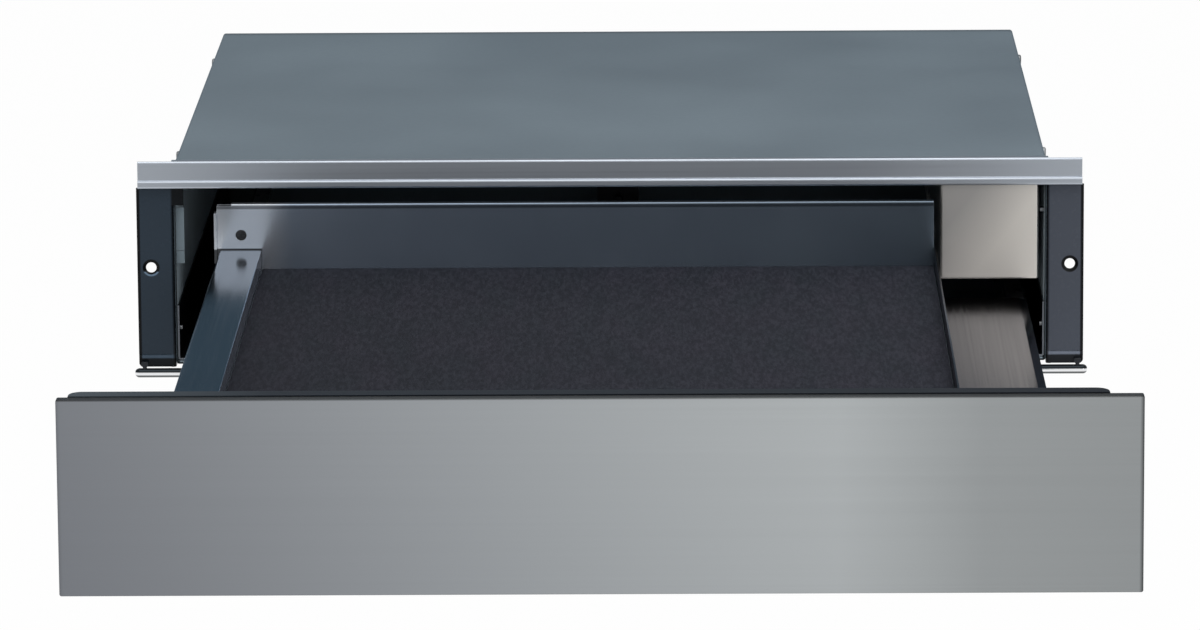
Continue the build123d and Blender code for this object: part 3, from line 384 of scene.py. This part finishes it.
def ledge_steel():
    """The low ledge: satin-polished with faint streaks, painted shade darkening its outer folded edge, and a
    painted dark band topped by a painted highlight on its upright edge.
    """
    finish = Finish("ledge_steel", metallic=1.0, Specular_Tint=(0.7, 0.7, 0.73, 1))
    grain = finish.noise(60, 3, size=(10, 0.06, 10))
    base = finish.between(finish.noise(9, 1), srgb(88, 87, 87), srgb(96, 95, 95))
    tone = finish.between(grain, grey(0.92), WHITE)
    # Painted shade: a dark blue band along the outer folded edge.
    side = finish.zones("X", [
        (0.198, WHITE), (0.2512, WHITE), (0.2526, (0.1, 0.14, 0.2, 1)), (0.2575, (0.1, 0.14, 0.2, 1)),
    ])
    # Painted shade and highlight: a dark band up the upright edge, with a bright band at its top.
    painted_lip_lighting = finish.zones("Z", [
        (-0.024, WHITE), (-0.0215, WHITE), (-0.021, grey(0.1)), (SHELF_TOP - 0.0022, grey(0.1)),
        (SHELF_TOP - 0.0016, grey(1.5)), (SHELF_TOP, grey(1.5)),
    ])
    finish.colour(finish.mixed(finish.mixed(finish.mixed(base, tone), side), painted_lip_lighting))
    finish.roughness(grain, 0.14, 0.22)
    finish.bump(grain, 0.000004, 0.0002)
    return finish.material


BOX_PAINTED_SHADE = ((1, 0, -0.8), 0.19, 0.23)


def box_steel():
    """Warm satin steel of the fixed box over the ledge, with painted shade darker to its upper left and a
    painted highlight along its lower edge.
    """
    finish = Finish("box_steel", metallic=1.0)
    # Painted shade: darker to the upper left, lighter to the lower right.
    painted_shade_slope = finish.ramp(finish.toward(*BOX_PAINTED_SHADE), [
        (0.0, srgb(166, 164, 162)), (1.0, srgb(206, 202, 196)),
    ])
    # Painted highlight: a brighter band along the lower edge.
    edge = finish.zones("Z", [(-0.012, grey(1.3)), (-0.0103, grey(1.3)), (-0.0098, WHITE), (0.07, WHITE)])
    finish.colour(finish.mixed(painted_shade_slope, edge))
    cloud = finish.noise(8, 2)
    finish.roughness(cloud, 0.34, 0.4)
    finish.bump(finish.noise(300, 2), 0.000006, 0.0003)
    return finish.material


FLANGE_HOLE = 0.2835
FLANGE_CREASE = -0.0552
FLANGE_REACH = (0.268, 0.292)
HOLE_REACH = 0.01
CRESCENT_TOP = -0.0026


def flange_paint():
    """Glossy blue-black flanges, with painted shade: black edges, a black lower strip under a crease painted
    pale as a highlight, and black round each hole.

    The left flange is painted darker than the right, as shade, and only its hole has a painted highlight: a
    pale crescent at the lower edge of the black.
    """
    finish = Finish("flange_paint", Specular_IOR_Level=0.12)
    peel = finish.noise(350, 2)
    across = finish.split.outputs["X"]
    side = finish.maths("ABSOLUTE", across)
    # Painted shade: the left flange is painted darker than the right.
    left, right = srgb(47, 58, 69), srgb(76, 81, 91)
    painted_side_lighting = finish.zones("X", [(-0.3, left), (-0.01, left), (0.01, right), (0.3, right)])
    # Painted shade: black lines along the inner and outer edges.
    edges = finish.ramp(finish.spread(side, *FLANGE_REACH, 0, 1), [
        (0.0, grey(0.1)), (0.08, grey(0.1)), (0.13, WHITE),
        (0.91, WHITE), (0.935, grey(0.08)), (1.0, grey(0.05)),
    ], "LINEAR")
    crease = FLANGE_CREASE
    # Painted shade and highlight: a black lower strip under a pale band at the crease.
    painted_lip_lighting = finish.zones("Z", [
        (-0.063, grey(0.16)), (crease - 0.0022, grey(0.2)),
        (crease - 0.0016, grey(2.6)), (crease - 0.0002, grey(2.6)),
        (crease + 0.0006, WHITE), (0.05, WHITE),
    ])
    offset = finish.maths("SUBTRACT", side, FLANGE_HOLE)
    height = finish.split.outputs["Z"]
    reach = finish.maths("SQRT", finish.maths(
        "ADD", finish.maths("MULTIPLY", offset, offset), finish.maths("MULTIPLY", height, height)))
    around = finish.spread(reach, 0.0, HOLE_REACH, 0, 1)
    # Painted shade: a black circle round each hole.
    painted_hole_shade = finish.ramp(around, [
        (0.0, grey(0.05)), (0.5, grey(0.05)), (0.54, WHITE), (1.0, WHITE),
    ], "LINEAR")
    # Painted highlight: a pale crescent at the lower edge of the left hole's black circle.
    painted_glint = finish.ramp(around, [
        (0.0, grey(0.05)), (0.42, grey(0.05)), (0.45, grey(5.0)),
        (0.52, grey(5.0)), (0.56, WHITE), (1.0, WHITE),
    ], "LINEAR")
    low_down = finish.maths("LESS_THAN", height, CRESCENT_TOP)
    on_left = finish.maths("LESS_THAN", across, 0.0)
    below = finish.maths("MULTIPLY", low_down, on_left)
    painted_hole_lighting = finish.mixed(painted_hole_shade, painted_glint, "MIX", below)
    finish.colour(finish.mixed(finish.mixed(finish.mixed(painted_side_lighting, edges), painted_lip_lighting), painted_hole_lighting))
    finish.roughness(peel, 0.2, 0.3)
    finish.bump(peel, 0.00002, 0.0004)
    return finish.material


def black_metal():
    """Glossy black paint of the small fittings."""
    finish = Finish("black_metal", roughness=0.3, Specular_IOR_Level=0.3)
    peel = finish.noise(350, 2)
    finish.colour(finish.between(finish.noise(10, 2), srgb(20, 24, 31), srgb(28, 32, 40)))
    finish.roughness(peel, 0.25, 0.35)
    finish.bump(peel, 0.00002, 0.0004)
    return finish.material


def liner_black():
    """Dark satin paint of the inner door, painted lighter and bluer towards its left end as light."""
    finish = Finish("liner_black", roughness=0.45, Specular_IOR_Level=0.06)
    cloud = finish.noise(12, 2)
    # Painted light: lighter and bluer towards the left end.
    base = finish.zones("X", [
        (-0.29, srgb(66, 74, 80)), (-0.18, srgb(28, 33, 40)), (0.28, srgb(24, 28, 34)),
    ])
    tone = finish.between(cloud, grey(0.9), WHITE)
    finish.colour(finish.mixed(base, tone))
    finish.roughness(cloud, 0.4, 0.5)
    finish.bump(finish.noise(400, 2), 0.00002, 0.0004)
    return finish.material


ROD_LEVEL = -0.066


def chrome():
    """Bright chromed bar, with dark and bright painted reflections in stripes along it."""
    finish = Finish("chrome", metallic=1.0)
    speck = finish.noise(200, 2)
    # Painted reflection: dark and bright stripes along the bar, by height.
    painted_reflection_bands = finish.zones("Z", [
        (ROD_LEVEL - 0.003, srgb(128, 130, 130)), (ROD_LEVEL - 0.0014, srgb(84, 87, 88)),
        (ROD_LEVEL - 0.0008, srgb(235, 236, 238)), (ROD_LEVEL + 0.0003, srgb(235, 236, 238)),
        (ROD_LEVEL + 0.0009, srgb(34, 38, 41)), (ROD_LEVEL + 0.003, srgb(30, 33, 36)),
    ])
    tone = finish.between(speck, grey(0.95), WHITE)
    finish.colour(finish.mixed(painted_reflection_bands, tone))
    finish.roughness(speck, 0.05, 0.1)
    finish.bump(speck, 0.000005, 0.0003)
    return finish.material


def zinc_steel():
    """Zinc-plated hardware, dulled by handling."""
    finish = Finish("zinc_steel", metallic=1.0)
    cloud = finish.noise(60, 3)
    finish.colour(finish.between(cloud, srgb(96, 99, 102), srgb(140, 143, 145)))
    finish.roughness(cloud, 0.26, 0.4)
    finish.bump(finish.noise(500, 2), 0.00001, 0.0002)
    return finish.material


def mat_rubber():
    """Anti-slip mat: near-black and matte, with a fine speckle, faint blotches, and painted light making it
    paler to the right.
    """
    finish = Finish("mat_rubber", roughness=0.9, Specular_IOR_Level=0.06)
    speck = finish.noise(520, 3, size=(1, 0.2, 1), roughness=0.7)
    blotch = finish.noise(40, 3, size=(1, 0.25, 1))
    base = finish.ramp(speck, [(0.36, srgb(27, 28, 33)), (0.5, srgb(34, 35, 41)), (0.66, srgb(44, 45, 51))])
    tone = finish.between(blotch, (0.86, 0.92, 0.92, 1), (1.0, 0.96, 1.0, 1))
    # Painted light: paler from left to right.
    painted_light_across = finish.zones("X", [(-0.21, grey(1.1)), (0.2, grey(1.5))])
    finish.colour(finish.mixed(finish.mixed(base, tone), painted_light_across))
    finish.roughness(speck, 0.85, 0.95)
    finish.bump(speck, 0.0002)
    return finish.material


def plain(name, dark, light, low, high, scale=120, depth=0.00002, metallic=0.0, **sockets):
    """A plain moulded or cast finish: two near tones, uneven roughness and a fine relief."""
    finish = Finish(name, metallic=metallic, **sockets)
    pattern = finish.noise(scale, 3)
    finish.colour(finish.between(pattern, dark, light))
    finish.roughness(pattern, low, high)
    finish.bump(finish.noise(scale * 5, 2), depth, 0.0002)
    return finish.material


def plain_finishes():
    """The finishes of the small and hidden pieces: two tones, a roughness range, and the rest."""
    bare_metal = {"metallic": 1.0}
    rows = {
        "dark_screw": (srgb(40, 41, 43), srgb(70, 71, 73), 0.3, 0.45, bare_metal),
        "fan_aluminium": (srgb(178, 180, 182), srgb(202, 204, 206), 0.28, 0.4, bare_metal),
        "motor_iron": (srgb(52, 52, 54), srgb(78, 78, 80), 0.4, 0.6, {"metallic": 0.7}),
        "element_sheath": (srgb(74, 66, 60), srgb(112, 102, 94), 0.35, 0.5, bare_metal),
        "black_plastic": (srgb(28, 29, 31), srgb(36, 37, 39), 0.4, 0.5, {"depth": 0.00004}),
        "pale_plastic": (srgb(206, 202, 192), srgb(216, 212, 203), 0.4, 0.5, {}),
        "amber_lens": (srgb(214, 110, 24), srgb(230, 128, 34), 0.08, 0.14, {"Transmission_Weight": 0.4}),
        "black_rubber": (srgb(26, 26, 27), srgb(36, 36, 37), 0.75, 0.9, {"scale": 300}),
        "mineral_wool": (srgb(170, 158, 116), srgb(212, 202, 160), 0.9, 1.0, {"scale": 200, "depth": 0.0006}),
    }
    return {name: plain(name, *values, **more) for name, (*values, more) in rows.items()}


def dress():
    """Give each CAD node the finish of its record slot, or its own where it differs."""
    finishes = {
        "panel_steel": panel_steel(),
        "trim_steel": trim_steel(),
        "coated_steel": coated_steel(),
        "polished_steel": shelf_steel(),
        "black_metal": black_metal(),
        "chrome": chrome(),
        "zinc_steel": zinc_steel(),
        "mat_rubber": mat_rubber(),
    }
    finishes.update(plain_finishes())
    own = {
        "blower_box": box_steel(),
        "right_ledge": ledge_steel(),
        "tray_back_wall": back_steel(),
        "panel_liner": liner_black(),
    }
    own["left_flange"] = own["right_flange"] = flange_paint()
    own["left_side_wall"] = own["right_side_wall"] = wall_steel()
    own["left_runner_channel"] = own["right_runner_channel"] = channel_metal()
    own["latch_plunger"] = finishes["black_plastic"]
    for part in frame["record"]["subparts"]:
        node = nodes[part["node"]]
        material = own.get(part["node"], finishes[part["material_slot"]])
        for slot in node.material_slots:
            slot.material = material


# ---------------------------------------------------------------- stage, light, camera
def plain_mesh(name, corners):
    """A flat four-cornered mesh."""
    mesh = bpy.data.meshes.new(name)
    mesh.from_pydata(corners, [], [(0, 1, 2, 3)])
    made = bpy.data.objects.new(name, mesh)
    bpy.context.scene.collection.objects.link(made)
    return made


def seen_white(tree, shader, level):
    """Mix a shader with plain white for rays from the camera, and for reflections and glass."""
    path = tree.nodes.new("ShaderNodeLightPath")
    either = tree.nodes.new("ShaderNodeMath")
    either.operation = "MAXIMUM"
    tree.links.new(path.outputs["Is Camera Ray"], either.inputs[0])
    tree.links.new(path.outputs["Is Glossy Ray"], either.inputs[1])
    every = tree.nodes.new("ShaderNodeMath")
    every.operation = "MAXIMUM"
    tree.links.new(either.outputs[0], every.inputs[0])
    tree.links.new(path.outputs["Is Transmission Ray"], every.inputs[1])
    share = tree.nodes.new("ShaderNodeMath")
    share.operation = "MULTIPLY"
    share.inputs[1].default_value = level
    tree.links.new(every.outputs[0], share.inputs[0])
    mix = tree.nodes.new("ShaderNodeMixShader")
    tree.links.new(share.outputs[0], mix.inputs[0])
    tree.links.new(shader, mix.inputs[1])
    return mix


def floor():
    """Pale floor that keeps the object's shadow."""
    half = FLOOR_HALF
    corners = ((-half, -half), (half, -half), (half, half), (-half, half))
    made = plain_mesh("floor", [(x, y, FLOOR_Z) for x, y in corners])
    material = bpy.data.materials.new("floor")
    material.use_nodes = True
    tree = material.node_tree
    base = tree.nodes["Principled BSDF"]
    base.inputs["Base Color"].default_value = FLOOR_PAINT
    base.inputs["Roughness"].default_value = FLOOR_ROUGHNESS
    glow = tree.nodes.new("ShaderNodeEmission")
    mix = seen_white(tree, base.outputs[0], FLOOR_WHITE_SHARE)
    tree.links.new(glow.outputs[0], mix.inputs[2])
    tree.links.new(mix.outputs[0], tree.nodes["Material Output"].inputs["Surface"])
    made.data.materials.append(material)


def world():
    """White to the camera and in reflections, a soft grey light otherwise."""
    made = bpy.data.worlds.new("studio")
    made.use_nodes = True
    tree = made.node_tree
    light = tree.nodes["Background"]
    light.inputs["Strength"].default_value = WORLD_LEVEL
    light.inputs["Color"].default_value = WHITE
    white = tree.nodes.new("ShaderNodeBackground")
    white.inputs["Color"].default_value = WHITE
    white.inputs["Strength"].default_value = 1.0
    mix = seen_white(tree, light.outputs[0], 1.0)
    tree.links.new(white.outputs[0], mix.inputs[2])
    tree.links.new(mix.outputs[0], tree.nodes["World Output"].inputs["Surface"])
    bpy.context.scene.world = made


def dark_card(name, x_reach, y, z_reach):
    """A dark card that only reflections see: dark to what looks along +Y, clear from behind."""
    (left, right), (low, high) = x_reach, z_reach
    made = plain_mesh(name, [(left, y, low), (right, y, low), (right, y, high), (left, y, high)])
    material = bpy.data.materials.new(name)
    material.use_nodes = True
    tree = material.node_tree
    glow = tree.nodes.new("ShaderNodeEmission")
    glow.inputs["Color"].default_value = CARD_COLOUR
    clear = tree.nodes.new("ShaderNodeBsdfTransparent")
    mix = tree.nodes.new("ShaderNodeMixShader")
    tree.links.new(tree.nodes.new("ShaderNodeNewGeometry").outputs["Backfacing"], mix.inputs[0])
    tree.links.new(glow.outputs[0], mix.inputs[1])
    tree.links.new(clear.outputs[0], mix.inputs[2])
    tree.links.new(mix.outputs[0], tree.nodes["Material Output"].inputs["Surface"])
    made.data.materials.append(material)
    made.visible_camera = False
    made.visible_diffuse = False
    made.visible_shadow = False
    made.visible_transmission = False


def lamp(name, place, target, size, power):
    """A soft square lamp aimed at a point."""
    data = bpy.data.lights.new(name, "AREA")
    data.shape = "RECTANGLE"
    data.size = size
    data.size_y = size
    data.energy = power
    made = bpy.data.objects.new(name, data)
    made.location = place
    made.rotation_euler = (Vector(target) - Vector(place)).to_track_quat("-Z", "Y").to_euler()
    bpy.context.scene.collection.objects.link(made)
    return made


def lights():
    """A large soft box overhead, and a smaller one in front and to the right."""
    lamp("overhead", *OVERHEAD_LAMP)
    lamp("front", *FRONT_LAMP)


def camera():
    """The photograph's camera, from its fitted yaw, pitch and roll."""
    forward = Vector((
        math.sin(CAMERA_YAW) * math.cos(CAMERA_PITCH),
        math.cos(CAMERA_YAW) * math.cos(CAMERA_PITCH),
        -math.sin(CAMERA_PITCH),
    ))
    level = Vector((math.cos(CAMERA_YAW), -math.sin(CAMERA_YAW), 0))
    upright = level.cross(forward)
    right = math.cos(CAMERA_ROLL) * level + math.sin(CAMERA_ROLL) * upright
    up = -math.sin(CAMERA_ROLL) * level + math.cos(CAMERA_ROLL) * upright
    turn = Matrix((right, up, -forward)).transposed().to_4x4()
    data = bpy.data.cameras.new("camera")
    data.sensor_width = SENSOR_WIDTH
    data.lens = FOCAL_PIXELS / IMAGE_WIDTH * SENSOR_WIDTH
    data.clip_end = 200
    made = bpy.data.objects.new("camera", data)
    made.matrix_world = Matrix.Translation(CAMERA_PLACE) @ turn
    bpy.context.scene.collection.objects.link(made)
    bpy.context.scene.camera = made


def main():
    dress()
    camera()
    world()
    floor()
    dark_card("far_card", *FAR_CARD)
    dark_card("near_card", *NEAR_CARD)
    lights()
    bpy.context.scene.view_settings.view_transform = "Standard"


main()
